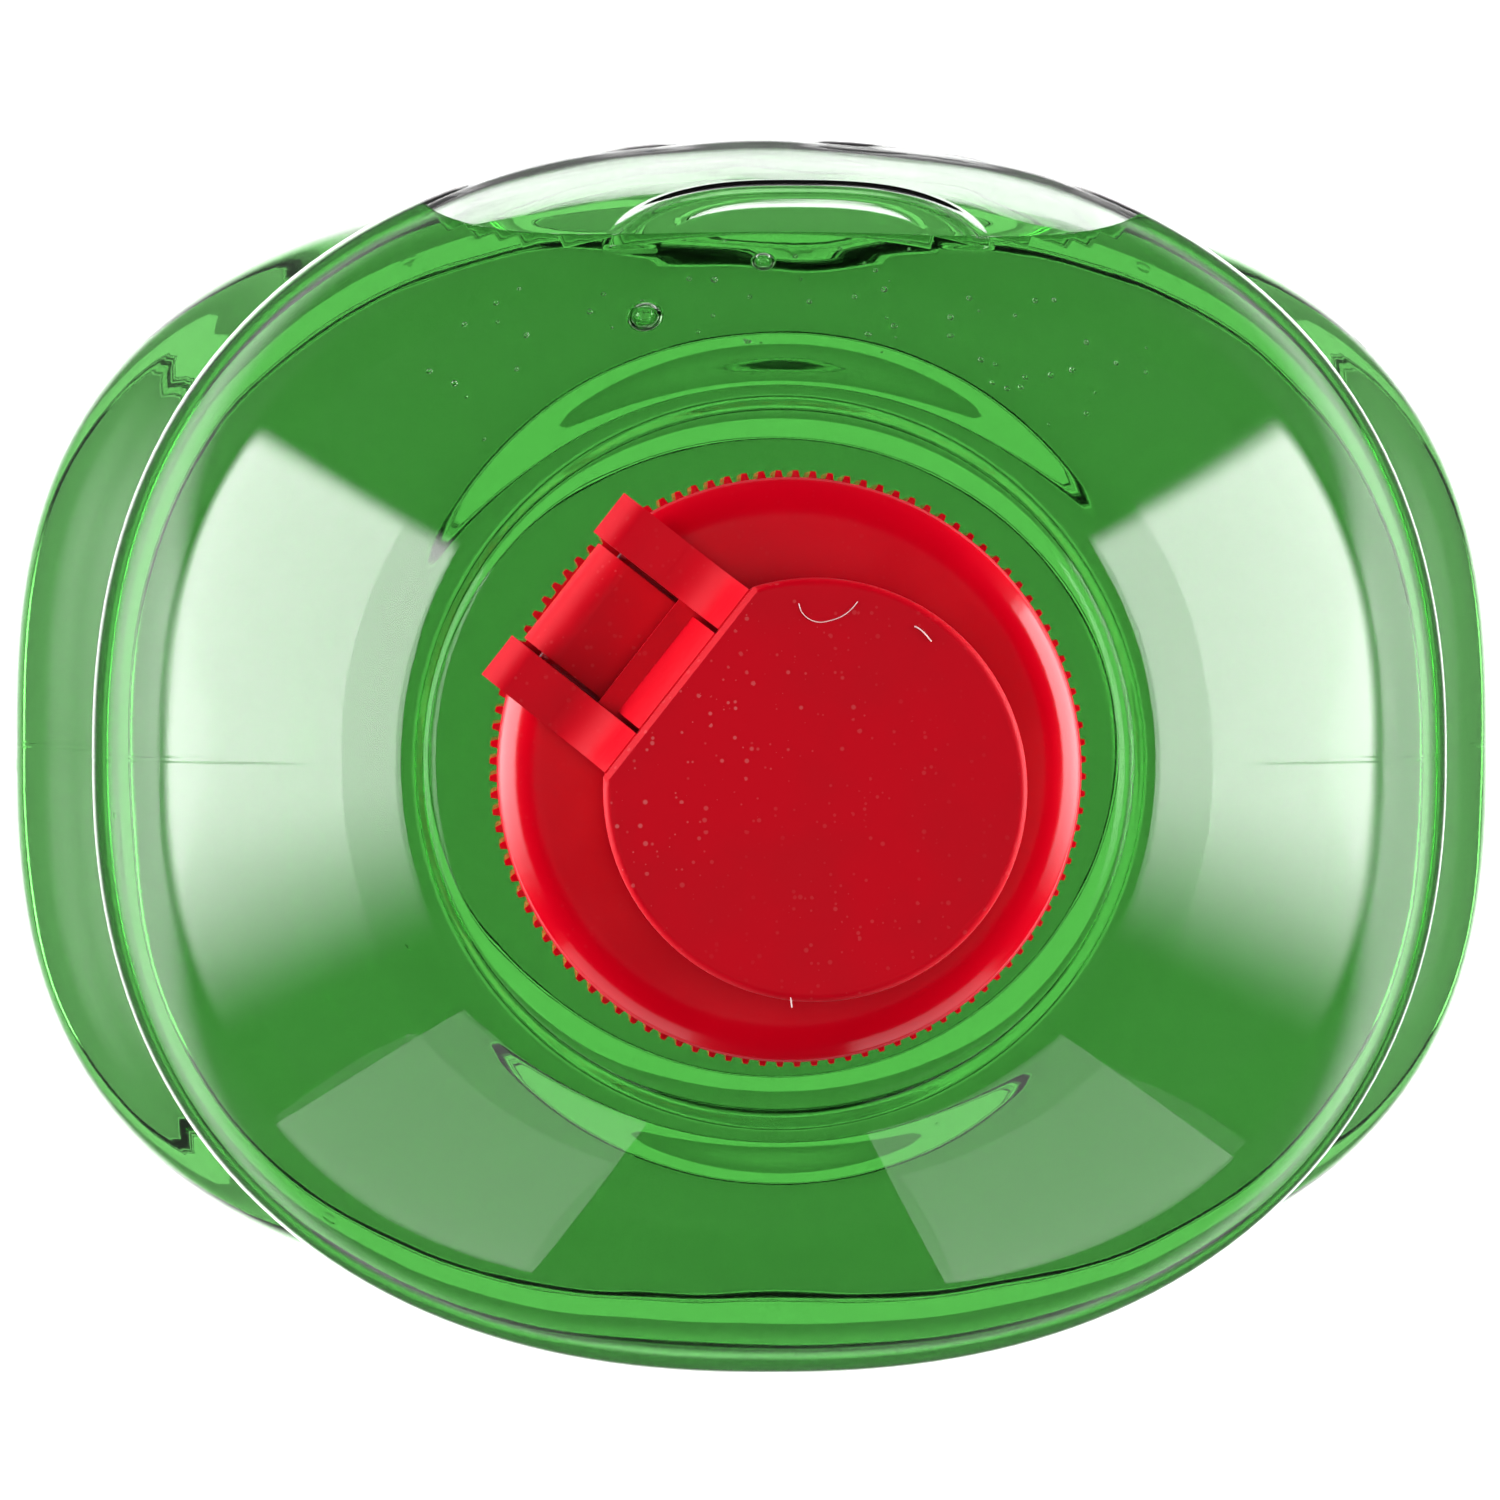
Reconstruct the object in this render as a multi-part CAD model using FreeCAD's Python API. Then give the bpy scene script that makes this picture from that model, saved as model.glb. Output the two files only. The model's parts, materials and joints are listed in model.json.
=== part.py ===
import FreeCAD, Part
import math
import os

# A one-litre squeeze bottle of dish soap with a ribbed screw cap and a flip-top lid.
# Millimetres, +Z up, origin at the centre of the base. The bottle is widest along X,
# and its flat back and front face +Y and -Y. The lid's hinge points back and to the left.

Vector = FreeCAD.Vector
UP = Vector(0, 0, 1)

# Bottle, outside
foot_half_width = 34.0
foot_half_depth = 25.5
foot_squareness = 2.4
heel_squareness = 2.55
heel_radius = 8.0
lower_half_width = 45.9
lower_half_depth = 35.2
lower_squareness = 2.7
lower_top_height = 122.0
waist_half_width = 37.2
waist_half_depth = 34.2
waist_squareness = 2.4
waist_height = 150.5
bulge_half_width = 39.1
bulge_half_depth = 35.7
bulge_squareness = 2.3
bulge_height = 173.5
dome_power = 2.0
collar_radius = 20.7
collar_height = 197.0
push_up_half_width = 28.0
push_up_half_depth = 19.5
push_up_height = 5.0
bottle_wall = 0.55
outline_points = 32

# Bottle, neck
neck_radius = 12.6
neck_bore_radius = 10.6
neck_root_radius = 12.8
neck_root_height = 201.4
ring_radius = 15.2
ring_thickness = 1.6
neck_lip_round = 0.5
thread_room = 1.3

# Soap, up to a level in the neck
soap_below_ring = 0.9
soap_gap = 0.04

# Screw cap
cap_radius = 15.65
cap_gap_above_ring = 0.6
cap_height = 19.0
cap_plate = 2.6
rim_round = 2.85
rim_run = 2.45
rib_count = 108
rib_half_width = 0.27
rib_out = 0.4
rib_sunk = 0.1
rib_top_drop = 4.8
rib_bottom_rise = 1.0
plug_depth = 3.4
plug_wall = 1.0
plug_lead_in = 1.4
plug_clearance = 0.12
neck_seat_gap = 0.1
boss_height = 0.9
spout_height = 3.9
spout_foot_radius = 4.6
spout_top_radius = 3.1
orifice_radius = 1.6
orifice_mouth_radius = 2.3
orifice_mouth_depth = 1.1

# Flip lid
hinge_azimuth = 141.8
lid_radius = 11.2
lid_forward = 1.5
lid_back = 7.7
lid_height = 7.0
lid_gap = 0.35
lid_wall = 1.2
lid_top_wall = 1.3
lid_edge_round = 0.45
lid_draft = 0.15
lid_seat_clearance = 0.35
pin_clearance = 0.2
hinge_half_width = 6.15
back_wall_foot = 9.8
back_wall_inset = 0.1
ear_width = 2.65
ear_height = 2.1
ear_sag = 0.15
ear_brow = 14.55
ear_edge = 15.5
ear_edge_height = 1.25
ear_reach = 16.1
ear_tip_height = 0.45
ear_root_radius = 3.4
slit_width = 0.28
slit_root = 10.3
strap_reach = 15.5
strap_bend_radius = 2.2
strap_thickness = 0.9
strap_clearance = 0.3
strap_relief = 0.4
strap_root = 8.4
strap_root_radius = 0.55
film_radius = 0.25
film_drop = 2.9

os.makedirs("parts", exist_ok=True)


def export(shape, name):
    shape.exportStep("parts/" + name + ".step")


def superellipse_points(half_width, half_depth, squareness, height):
    """Points of the outline |x/a|^n + |y/b|^n = 1 in a level plane."""
    outline = []
    for i in range(outline_points):
        angle = 2 * math.pi * i / outline_points
        c = math.cos(angle)
        s = math.sin(angle)
        reach = (abs(c / half_width) ** squareness + abs(s / half_depth) ** squareness) ** (-1 / squareness)
        outline.append(Vector(reach * c, reach * s, height))
    return outline


def mix(start, end, share):
    return [a + (b - a) * share for a, b in zip(start, end)]


def body_stations():
    """Half-width, half-depth, squareness and height of the bottle's outline, from foot to neck."""
    foot = (foot_half_width, foot_half_depth, foot_squareness)
    heel = (foot_half_width + heel_radius, foot_half_depth + heel_radius, heel_squareness)
    lower = (lower_half_width, lower_half_depth, lower_squareness)
    waist = (waist_half_width, waist_half_depth, waist_squareness)
    bulge = (bulge_half_width, bulge_half_depth, bulge_squareness)
    collar = (collar_radius, collar_radius, 2)
    neck = (neck_root_radius, neck_root_radius, 2)
    stations = []
    for angle in (0, 22.5, 45, 67.5, 90):
        out = math.sin(math.radians(angle))
        rise = heel_radius * (1 - math.cos(math.radians(angle)))
        stations.append((*mix(foot, heel, out), rise))
    for share in (0.08, 0.25, 0.5, 0.75, 1.0):
        height = heel_radius + (lower_top_height - heel_radius) * share
        stations.append((*mix(heel, lower, math.sin(math.pi / 2 * share)), height))
    for start, low, end, high in (
        (lower, lower_top_height, waist, waist_height),
        (waist, waist_height, bulge, bulge_height),
    ):
        for share in (0.25, 0.5, 0.75, 1.0):
            ease = (1 - math.cos(math.pi * share)) / 2
            stations.append((*mix(start, end, ease), low + (high - low) * share))
    for share in (0.25, 0.5, 0.75, 0.92, 1.0):
        height = bulge_height + (collar_height - bulge_height) * share
        stations.append((*mix(bulge, collar, share**dome_power), height))
    for angle in (8, 30, 50, 70, 90):
        rise = (neck_root_height - collar_height) * (1 - math.cos(math.radians(angle)))
        stations.append((*mix(collar, neck, math.sin(math.radians(angle))), collar_height + rise))
    return stations


def inset_stations(inset):
    """The same outlines moved inwards, square to the front profile."""
    stations = body_stations()
    moved = []
    for i, (width, depth, square, height) in enumerate(stations):
        before = stations[max(i - 1, 0)]
        after = stations[min(i + 1, len(stations) - 1)]
        run = after[0] - before[0]
        rise = after[3] - before[3]
        length = math.hypot(run, rise)
        moved.append((
            width - inset * rise / length,
            depth - inset * rise / length,
            square,
            height + inset * run / length,
        ))
    return moved


def through(points, parameters, periodic=False):
    """The control points and knots of a cubic spline through points at the given parameters."""
    curve = Part.BSplineCurve()
    curve.interpolate(Points=points, PeriodicFlag=periodic, Parameters=parameters)
    return curve


def skin(rows, heights_along):
    """A solid whose wall is one smooth surface through level outlines, with flat ends."""
    turns = [i / outline_points for i in range(outline_points + 1)]
    rings = [through(row, turns, periodic=True) for row in rows]
    columns = [through(list(column), heights_along) for column in zip(*(ring.getPoles() for ring in rings))]
    around = rings[0]
    along = columns[0]
    wall = Part.BSplineSurface()
    wall.buildFromPolesMultsKnots(
        [column.getPoles() for column in columns],
        around.getMultiplicities(), along.getMultiplicities(),
        around.getKnots(), along.getKnots(),
        True, False, 3, 3,
    )
    side = wall.toShape()
    ends = [Part.Face(Part.Wire(edge)) for edge in side.Edges if edge.isClosed() and edge.BoundBox.ZLength < 0.01]
    shell = Part.makeShell([side, *ends])
    shell.sewShape()
    solid = Part.makeSolid(shell)
    if solid.Volume < 0:
        solid.reverse()
    return solid


def body_form(inset):
    stations = inset_stations(inset)
    along = [0.0]
    for before, after in zip(stations, stations[1:]):
        along.append(along[-1] + math.hypot(after[0] - before[0], after[3] - before[3]))
    along = [value / along[-1] for value in along]
    return skin([superellipse_points(*station) for station in stations], along)


def revolve_profile(edges):
    face = Part.Face(Part.Wire(edges))
    return face.revolve(Vector(0, 0, 0), UP, 360)


def polygon_edges(points):
    return [Part.LineSegment(a, b).toShape() for a, b in zip(points, points[1:])]


def rz(radius, height):
    return Vector(radius, 0, height)


def fillet_arc(start, corner, end, radius):
    """Tangent arc of the given radius in the corner between two straight runs, with its end points."""
    to_start = (start - corner).normalize()
    to_end = (end - corner).normalize()
    half = to_start.getAngle(to_end) / 2
    back = radius / math.tan(half)
    first = corner + to_start * back
    last = corner + to_end * back
    middle = (to_start + to_end).normalize()
    apex = corner + middle * (radius / math.sin(half) - radius)
    return first, last, Part.Arc(first, apex, last).toShape()


shoulder_height = neck_root_height + ring_thickness / 2 + cap_gap_above_ring + cap_height
neck_top = shoulder_height - cap_plate - neck_seat_gap


def neck_tube():
    """The neck's outside above its support ring, with a rounded lip and the ring itself."""
    turn = math.sqrt(0.5)
    low = neck_root_height - ring_thickness / 2
    high = neck_root_height + ring_thickness / 2
    lip_centre = neck_radius - neck_lip_round
    edges = polygon_edges([
        rz(lip_centre, neck_top), rz(0, neck_top), rz(0, low), rz(ring_radius, low), rz(ring_radius, high),
        rz(neck_radius, high), rz(neck_radius, neck_top - neck_lip_round),
    ])
    edges.append(Part.Arc(
        rz(neck_radius, neck_top - neck_lip_round),
        rz(lip_centre + neck_lip_round * turn, neck_top - neck_lip_round * (1 - turn)),
        rz(lip_centre, neck_top),
    ).toShape())
    return revolve_profile(edges)


def inside_form(inset, bore_radius, top):
    """The room inside the bottle, up to the given height in the neck."""
    low = neck_root_height - ring_thickness
    bore = Part.makeCylinder(bore_radius, top - low, rz(0, low))
    return body_form(inset).fuse(bore)


def push_up(inset):
    """The dome pressed up into the base, grown by the wall for the inside."""
    dome = Part.makeSphere(1.0)
    scale = FreeCAD.Matrix()
    scale.scale(push_up_half_width + inset, push_up_half_depth + inset, push_up_height + inset)
    return dome.transformGeometry(scale)


def make_bottle():
    outside = body_form(0).fuse(neck_tube()).cut(push_up(0))
    room = inside_form(bottle_wall, neck_bore_radius, neck_top + 1).cut(push_up(bottle_wall))
    return outside.cut(room)


def make_soap():
    inset = bottle_wall + soap_gap
    level = neck_root_height - soap_below_ring
    room = inside_form(inset, neck_bore_radius - soap_gap, level + 1).cut(push_up(inset))
    above = Part.makeCylinder(2 * collar_radius, neck_top, rz(0, level))
    return room.cut(above)


# The cap and lid are drawn with the hinge towards -X, with the cap's shoulder as height 0,
# and then turned and lifted to their place on the bottle.

def place(shape):
    placed = shape.copy()
    placed.rotate(Vector(0, 0, 0), UP, hinge_azimuth - 180)
    placed.translate(rz(0, shoulder_height))
    return placed


def box(x_low, x_high, y_half, z_low, z_high):
    corner = Vector(x_low, -y_half, z_low)
    return Part.makeBox(x_high - x_low, 2 * y_half, z_high - z_low, corner)


def ribbed_band():
    """The band of raised ribs all round the skirt, drawn as one outline."""
    outline = []
    for i in range(rib_count):
        middle = 2 * math.pi * i / rib_count
        for side, out in ((-1, -rib_sunk), (-0.5, rib_out), (0.5, rib_out), (1, -rib_sunk)):
            outline.append(polar(cap_radius + out, middle + side * rib_half_width / cap_radius))
    edges = polygon_edges(outline + outline[:1])
    band = Part.Face(Part.Wire(edges)).extrude(UP * (cap_height - rib_bottom_rise - rib_top_drop))
    band.translate(rz(0, rib_bottom_rise - cap_height))
    return band


def polar(radius, angle):
    return Vector(radius * math.cos(angle), radius * math.sin(angle), 0)


def cap_outside():
    """A straight skirt and a level shoulder, with a part-round that meets the skirt in an edge."""
    start = cap_radius - rim_run
    sweep = math.asin(rim_run / rim_round)
    edge = rz(cap_radius, rim_round * (math.cos(sweep) - 1))
    bend = rz(start + rim_round * math.sin(sweep / 2), rim_round * (math.cos(sweep / 2) - 1))
    edges = polygon_edges([rz(0, 0), rz(0, -cap_height), rz(cap_radius, -cap_height), edge])
    edges.append(Part.Arc(edge, bend, rz(start, 0)).toShape())
    edges.append(Part.LineSegment(rz(start, 0), rz(0, 0)).toShape())
    return revolve_profile(edges)


def lid_plan(radius, back, low, high):
    """A disc with its back cut off straight, as the lid and its seat are."""
    disc = Part.makeCylinder(radius, high - low, Vector(lid_forward, 0, low))
    return disc.cut(box(-2 * cap_radius, -back, cap_radius, low - 1, high + 1))


def side_extrusion(edges, half_width):
    face = Part.Face(Part.Wire(edges))
    solid = face.extrude(Vector(0, 2 * half_width, 0))
    solid.translate(Vector(0, -half_width, 0))
    return solid


def strap_bend(offset):
    """The strap's arc over the rim, moved inwards by the offset, from the shoulder to the skirt."""
    radius = strap_bend_radius - offset
    centre = rz(strap_bend_radius - strap_reach, -strap_bend_radius)
    turn = math.sqrt(0.5)
    start = centre + rz(0, radius)
    end = centre - rz(radius, 0)
    return start, end, Part.Arc(start, centre + rz(-radius * turn, radius * turn), end).toShape()


def strap_strip():
    """The strap: level with the shoulder, bent down over the rim to the film, with a straight face."""
    top_start, top_end, top_arc = strap_bend(0)
    low_start, low_end, low_arc = strap_bend(strap_thickness)
    edges = [Part.LineSegment(rz(-strap_root, 0), top_start).toShape(), top_arc]
    edges += polygon_edges([
        top_end, rz(top_end.x, -film_drop), rz(low_end.x, -film_drop), low_end,
    ])
    edges.append(low_arc)
    edges += polygon_edges([low_start, rz(-strap_root, low_start.z), rz(-strap_root, 0)])
    return side_extrusion(edges, strap_half_width)


def strap_pocket():
    """The room in the cap that the strap and the film lie in, open upwards and outwards."""
    start, end, arc = strap_bend(strap_thickness + strap_clearance)
    root = strap_clearance - strap_root
    open_side = -2 * cap_radius
    below = -film_drop - film_radius - strap_clearance
    edges = polygon_edges([
        start, rz(root, start.z), rz(root, strap_thickness), rz(open_side, strap_thickness),
        rz(open_side, below), rz(end.x, below), end,
    ])
    edges.append(arc)
    return side_extrusion(edges, strap_half_width + strap_clearance)


strap_half_width = hinge_half_width - ear_width - slit_width
film_centre = strap_reach - film_radius


def make_screw_cap():
    bore_radius = neck_radius + thread_room
    plug_radius = neck_bore_radius - plug_clearance
    cap = cap_outside().fuse(ribbed_band())
    cap = cap.cut(Part.makeCylinder(bore_radius, cap_height - cap_plate, rz(0, -cap_height)))
    plug = revolve_profile(polygon_edges([
        rz(plug_radius, -cap_plate / 2), rz(plug_radius, plug_lead_in - cap_plate - plug_depth),
        rz(plug_radius - plug_wall / 2, -cap_plate - plug_depth),
        rz(plug_radius - plug_wall, -cap_plate - plug_depth),
        rz(plug_radius - plug_wall, -cap_plate / 2), rz(plug_radius, -cap_plate / 2),
    ]))
    seat = lid_plan(
        lid_radius - lid_wall - lid_seat_clearance,
        lid_back - lid_wall - lid_seat_clearance,
        -cap_plate, boss_height,
    )
    spout = Part.makeCone(spout_foot_radius, spout_top_radius, spout_height, rz(0, 0))
    orifice = Part.makeCylinder(orifice_radius, spout_height + 2 * cap_plate, rz(0, -2 * cap_plate))
    mouth = Part.makeCone(
        orifice_radius, orifice_mouth_radius, orifice_mouth_depth, rz(0, spout_height - orifice_mouth_depth)
    )
    cap = cap.fuse([plug, seat, spout]).cut([orifice, mouth])
    relief = box(
        -2 * cap_radius, strap_relief - strap_reach, strap_half_width + strap_clearance,
        -rib_top_drop, -film_drop,
    )
    cap = cap.cut([strap_pocket(), relief]).removeSplitter()
    return place(cap)


def lid_shell():
    """The lid's own disc: a shallow cup with a straight back and a softly rounded top edge."""
    high = lid_height
    low = lid_gap
    turn = lid_edge_round * (1 - math.sqrt(0.5))
    foot = rz(lid_radius - lid_draft, low)
    side = rz(lid_radius, high - lid_edge_round)
    top = rz(lid_radius - lid_edge_round, high)
    edges = polygon_edges([top, rz(0, high), rz(0, low), foot, side])
    edges.append(Part.Arc(side, rz(lid_radius - turn, high - turn), top).toShape())
    cup = revolve_profile(edges)
    cup.translate(Vector(lid_forward, 0, 0))
    cup = cup.cut(box(-2 * cap_radius, -lid_back, cap_radius, low - 1, high + 1))
    chamfer = Part.makeBox(
        lid_edge_round, 2 * lid_radius, lid_edge_round,
        Vector(-lid_edge_round / 2, -lid_radius, -lid_edge_round / 2),
    )
    chamfer.rotate(Vector(0, 0, 0), Vector(0, 1, 0), 45)
    chamfer.translate(Vector(-lid_back, 0, high))
    return cup.cut(chamfer)


def lid_hollow():
    high = lid_height - lid_top_wall
    return lid_plan(lid_radius - lid_wall, lid_back - lid_wall, lid_gap - 1, high)


def back_wall_to(height):
    """The lid's sloping back wall, from its top edge down to the point at the given height."""
    top = rz(-lid_back - back_wall_inset, lid_height - lid_edge_round)
    run = back_wall_foot + top.x
    return top, rz(top.x - run * (top.z - height) / top.z, height)


def back_piece(height, root_radius, outline, half_width):
    """A piece that grows out of the back wall in a hollow sweep and follows the outline outwards."""
    top, corner = back_wall_to(height)
    first, last, arc = fillet_arc(top, corner, outline[0], root_radius)
    inside = lid_wall / 2 - lid_back
    edges = [Part.LineSegment(top, first).toShape(), arc]
    edges += polygon_edges([last, *outline, rz(inside, lid_gap), rz(inside, top.z), top])
    return side_extrusion(edges, half_width)


def ear(side):
    """One arm of the lid: it sweeps down from the back wall and ends in a nose of flat facets."""
    arm = back_piece(ear_height, ear_root_radius, [
        rz(-ear_brow, ear_height - ear_sag), rz(-ear_edge, ear_edge_height),
        rz(-ear_reach, ear_tip_height), rz(-ear_reach, lid_gap),
    ], ear_width / 2)
    arm.translate(Vector(0, side * (hinge_half_width - ear_width / 2), 0))
    return arm


def strap_block():
    """The back wall between the ears, down to the root of the strap, which it joins."""
    joint = rz(-strap_root, -strap_thickness / 2)
    return back_piece(0, strap_root_radius, [
        rz(-slit_root, 0), rz(-slit_root, joint.z), joint, rz(joint.x, lid_gap),
    ], strap_half_width)


def make_flip_lid():
    ear_inner = hinge_half_width - ear_width
    web = box(-slit_root, -lid_back + lid_wall / 2, ear_inner, lid_gap, ear_height)
    film = Part.makeCylinder(
        film_radius, 2 * strap_half_width,
        Vector(-film_centre, -strap_half_width, -film_drop), Vector(0, 1, 0),
    )
    strap_end = box(
        film_radius - film_centre, strap_thickness - film_centre, strap_half_width,
        -2 * film_drop, strap_thickness - film_drop,
    )
    pin_top = lid_height - lid_top_wall
    pin_reach = orifice_mouth_depth - pin_clearance
    pin_shoulder = orifice_mouth_radius + (spout_top_radius - orifice_mouth_radius) / 3
    pin_low = spout_height + pin_clearance
    pin = Part.makeCylinder(pin_shoulder, pin_top + lid_top_wall / 2 - pin_low, rz(0, pin_low))
    tip = Part.makeCone(
        orifice_radius - pin_clearance, orifice_mouth_radius - pin_clearance,
        pin_reach + pin_clearance, rz(0, spout_height - pin_reach),
    )
    lid = lid_shell().fuse([ear(-1), ear(1), strap_block(), web])
    lid = lid.cut(lid_hollow()).fuse([strap_strip().cut(strap_end), film, pin, tip]).removeSplitter()
    return place(lid)


export(make_bottle(), "bottle")
export(make_soap(), "dish_soap")
export(make_screw_cap(), "screw_cap")
export(make_flip_lid(), "flip_lid")
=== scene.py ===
import json
import math
import random

import bmesh
import bpy
from mathutils import Matrix, Vector, noise

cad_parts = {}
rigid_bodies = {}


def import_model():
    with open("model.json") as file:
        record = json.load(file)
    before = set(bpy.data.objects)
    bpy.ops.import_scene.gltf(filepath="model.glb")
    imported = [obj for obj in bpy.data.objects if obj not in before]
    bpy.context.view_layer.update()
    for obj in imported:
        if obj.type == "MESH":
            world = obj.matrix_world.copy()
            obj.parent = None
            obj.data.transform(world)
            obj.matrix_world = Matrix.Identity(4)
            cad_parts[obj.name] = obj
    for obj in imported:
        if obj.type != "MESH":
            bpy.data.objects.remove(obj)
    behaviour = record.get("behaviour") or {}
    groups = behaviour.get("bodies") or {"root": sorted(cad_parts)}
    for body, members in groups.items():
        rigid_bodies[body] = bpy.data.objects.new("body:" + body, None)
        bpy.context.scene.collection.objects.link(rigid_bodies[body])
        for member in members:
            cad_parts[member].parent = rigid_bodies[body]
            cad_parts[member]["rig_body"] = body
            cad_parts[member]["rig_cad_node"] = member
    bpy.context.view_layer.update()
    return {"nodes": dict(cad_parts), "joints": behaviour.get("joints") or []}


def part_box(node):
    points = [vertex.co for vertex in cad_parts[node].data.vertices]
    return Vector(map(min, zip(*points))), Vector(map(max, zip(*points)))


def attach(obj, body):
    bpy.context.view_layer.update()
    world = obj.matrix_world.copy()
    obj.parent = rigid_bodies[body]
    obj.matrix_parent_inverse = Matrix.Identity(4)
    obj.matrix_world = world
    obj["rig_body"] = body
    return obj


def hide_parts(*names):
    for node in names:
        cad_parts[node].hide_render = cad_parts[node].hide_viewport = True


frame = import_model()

bl_info = {
    "name": "Dish soap bottle",
    "version": (1, 0, 0),
    "blender": (4, 5, 0),
    "location": "3D View > Sidebar > Soap bottle",
    "description": "Clear squeeze bottle of green dish soap with a ribbed red cap and a flip lid",
    "category": "Object",
}

MM = 0.001
CAP_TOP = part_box("screw_cap")[1].z
HINGE = next(joint for joint in frame["joints"] if joint["name"] == "lid_flip")
HINGE_WAY = Vector((HINGE["pos_m"][0], HINGE["pos_m"][1], 0)).normalized()

# Outlines of the bottle: half-width, half-depth, squareness and height, in millimetres.
# A squareness of 2 is an ellipse, and more is squarer.
FOOT = (34.0, 25.5, 2.4, 0.0)
HEEL_RADIUS = 8.0
HEEL = (42.0, 33.5, 2.55, 8.0)
LOWER = (45.9, 35.2, 2.7, 122.0)
WAIST = (37.2, 34.2, 2.4, 150.5)
BULGE = (39.1, 35.7, 2.3, 173.5)
COLLAR = (20.7, 20.7, 2.0, 197.0)
NECK_ROOT = (12.8, 12.8, 2.0, 201.4)
ROUND = 2.0
DOME_POWER = 2.0
HEEL_ANGLES = (0, 22.5, 45, 67.5, 90)
COLLAR_ANGLES = (8, 30, 50, 70, 90)
LOWER_SHARES = (0.08, 0.25, 0.5, 0.75, 1.0)
WAIST_SHARES = (0.25, 0.5, 0.75, 1.0)
DOME_SHARES = (0.25, 0.5, 0.75, 0.92, 1.0)
SHELL_STEPS = 4
SOAP_STEPS = 6
CLOSE = 0.1

# Dome pressed up into the base: half-width, half-depth and height, in millimetres
PUSH_UP = (28.0, 19.5, 5.0)
PUSH_UP_STEPS = 12

# Neck, in millimetres
NECK_RADIUS = 12.6
NECK_BORE = 10.6
RING_RADIUS = 15.2
RING_HALF = 0.8
RING_EASE = 0.2
UNDER_RING = 0.35
LIP_ROUND = 0.5
LIP_STEPS = 4
BORE_CLEAR = 0.4
NECK_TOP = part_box("bottle")[1].z / MM

# Thread on the neck, in millimetres
THREAD_LOW = 205.6
THREAD_PITCH = 3.2
THREAD_TURNS = 2.4
THREAD_HEIGHT = 1.0
THREAD_HALF = 1.0
THREAD_FADE = 0.06
THREAD_CREST = 1.6
THREAD_STEPS = 42

# The inner wall of blown PET is a little uneven, in millimetres. The streaks run up the
# bottle, have a finer ripple on them and fade out at the heel and at the neck.
UNEVEN = 0.12
UNEVEN_WAVE = 13.0
UNEVEN_SPAN = (39, 35, 0.6)
UNEVEN_RIPPLE = (0.5, 2.3)
UNEVEN_FOOT = (6, 20)
UNEVEN_HEAD = (199, 12)

# The soap's surface in the neck falls from the wall in two steps: inset, drop
MENISCUS = ((0.8, 0.35), (2.5, 0.5))

# Air caught under the back of the shoulder, in millimetres
POCKET_LEVEL = 28.8
POCKET_MIDDLE = (1.0, 38.0, 172.0)
POCKET_SIZES = (22.5, 9.2, 21.0)
LENS_MIDDLE = (1.3, 28.5)
LENS_SIZES = (9.7, 3.5)
LENS_SQUARENESS = 2.6
LENS_FILM = 0.42
LENS_HEIGHTS = (150, 160)

# Bubbles: place and radius of the large ones, and how the specks are strewn, in millimetres
LARGE_BUBBLES = (((-7.2, 24.2, 189.2), 1.04), ((-0.7, 27.2, 187.0), 0.7))
BUBBLE_SQUASH = 0.94
SPECK_COUNT = 70
SPECK_SEED = 7
SPECK_ANGLES = (48, 132)
SPECK_SHARES = (0.25, 0.95)
SPECK_CROWD = 0.6
SPECK_REACH = (17, 15)
SPECK_FLATTEN = 0.92
SPECK_HEIGHTS = (195.5, 13.0)
SPECK_DEPTHS = (0.3, 2.5)
SPECK_SIZES = (0.08, 0.22)
SPECK_CLEAR = 1.2

# Refraction of PET in air, and of PET against soap drawn as if it stood in air
PET_IOR = 1.575
WET_IOR = 1.27
PET_TINT = (0.97, 1.0, 0.975, 1)
SOAP_IOR = 1.36
CAP_IOR = 1.49

# Moulding line down each side of the bottle, and what stands out on it, in millimetres
PARTING_HALF = 0.22
PARTING_FROM = (24, 30)
PET_RELIEF = 0.03
LENS_RELIEF = 8.0
GRIT_RELIEF = 0.6

# Specks: cells per metre, largest size and share of the cells that hold one
GRIT = (240.0, 0.14, 0.12)
FINE_DUST = (3200.0, 0.5, 0.35)
COARSE_DUST = (1500.0, 0.08, 0.06)
DUST_COLOUR = (0.80, 0.42, 0.40, 1)

# Finish of the edges of the cap and lid, in millimetres and degrees
EDGE_EASE = 0.08
EDGE_ANGLE = 35
FLAT_ANGLE = 0.8
SAME_POINT = 0.002

# Lint on the lid: name, body, radius and points, in millimetres
LINT_COLOURS = ((0.75, 0.5, 0.48, 1), (0.95, 0.85, 0.83, 1))
LID_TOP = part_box("flip_lid")[1].z / MM
FIBRES = (
    ("lid_lint_bow", "lid", 0.02, (
        (0.3, 8.9, LID_TOP + 0.02), (0.4, 8.3, LID_TOP + 0.02), (1.2, 7.8, LID_TOP + 0.03),
        (2.0, 8.0, LID_TOP + 0.02), (2.9, 8.3, LID_TOP + 0.03), (3.4, 9.0, LID_TOP + 0.02))),
    ("lid_lint_edge", "lid", 0.035, (
        (6.4, 7.7, LID_TOP + 0.04), (6.9, 7.5, LID_TOP + 0.07), (7.1, 7.1, LID_TOP + 0.04),
        (7.3, 6.9, LID_TOP + 0.04))),
    ("lid_lint_drop", "lid", 0.035, (
        (-0.2, -11.2, LID_TOP - 0.1), (-0.15, -11.7, LID_TOP + 0.02),
        (-0.1, -12.1, LID_TOP - 0.15), (-0.05, -12.4, LID_TOP - 0.5))),
)

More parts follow.
